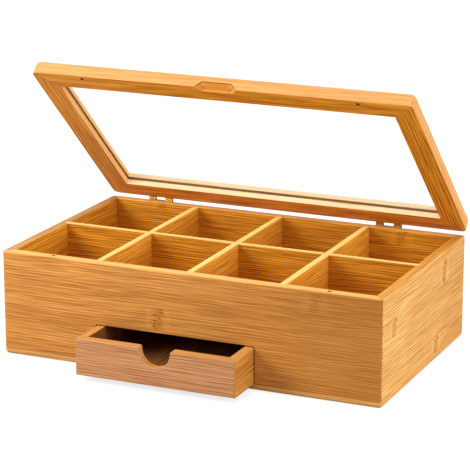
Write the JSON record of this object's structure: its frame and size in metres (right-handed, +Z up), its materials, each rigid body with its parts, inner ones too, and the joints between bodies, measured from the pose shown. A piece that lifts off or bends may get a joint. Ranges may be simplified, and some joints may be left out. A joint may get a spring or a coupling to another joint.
{
  "type": "tea bag drawer box",
  "caption": "Bamboo tea bag box with divided compartments under a hinged framed lid with a clear window, and a shallow drawer with a finger notch below.",
  "frame": {"origin": "centre of the base board's underside", "axes": "+X to the right along the front, +Y from front to back, +Z up"},
  "size_m": [0.307, 0.2271, 0.2162],
  "materials": {
    "bamboo": "satin caramel bamboo with fine grain along each board",
    "base_bamboo": "satin caramel bamboo",
    "board": "matt thin bamboo board",
    "lid_bamboo": "satin caramel bamboo with fine grain along each rail",
    "drawer_bamboo": "satin caramel bamboo",
    "window": "clear acrylic sheet",
    "hinge_brass": "satin brass",
    "magnet": "dull nickel"
  },
  "bodies": {
    "box": {"base_board": "base_bamboo", "front_wall": "bamboo", "back_wall": "bamboo", "left_wall": "bamboo", "right_wall": "bamboo", "compartment_floor": "board", "long_divider": "bamboo", "short_divider_1": "bamboo", "short_divider_2": "bamboo", "short_divider_3": "bamboo", "left_drawer_guide": "bamboo", "right_drawer_guide": "bamboo", "left_hinge_box_leaf": "hinge_brass", "right_hinge_box_leaf": "hinge_brass", "left_hinge_pin": "hinge_brass", "right_hinge_pin": "hinge_brass", "box_leaf_screws": "hinge_brass", "rim_magnets": "magnet"},
    "lid": {"lid_front_rail": "lid_bamboo", "lid_back_rail": "lid_bamboo", "lid_left_rail": "lid_bamboo", "lid_right_rail": "lid_bamboo", "lid_window": "window", "left_hinge_lid_leaf": "hinge_brass", "right_hinge_lid_leaf": "hinge_brass", "lid_leaf_screws": "hinge_brass", "lid_magnets": "magnet"},
    "drawer": {"drawer_front": "drawer_bamboo", "drawer_left_side": "drawer_bamboo", "drawer_right_side": "drawer_bamboo", "drawer_back": "drawer_bamboo", "drawer_bottom": "board"}
  },
  "joints": [
    {"name": "lid_hinge", "type": "hinge", "parent": "box", "child": "lid", "pos_m": [0, 0.0958, 0.07915], "axis": [-1, 0, 0], "range_deg": [-43, 137]},
    {"name": "drawer_slide", "type": "slide", "parent": "box", "child": "drawer", "axis": [0, -1, 0], "range_m": [-0.0333, 0.0967]}
  ]
}
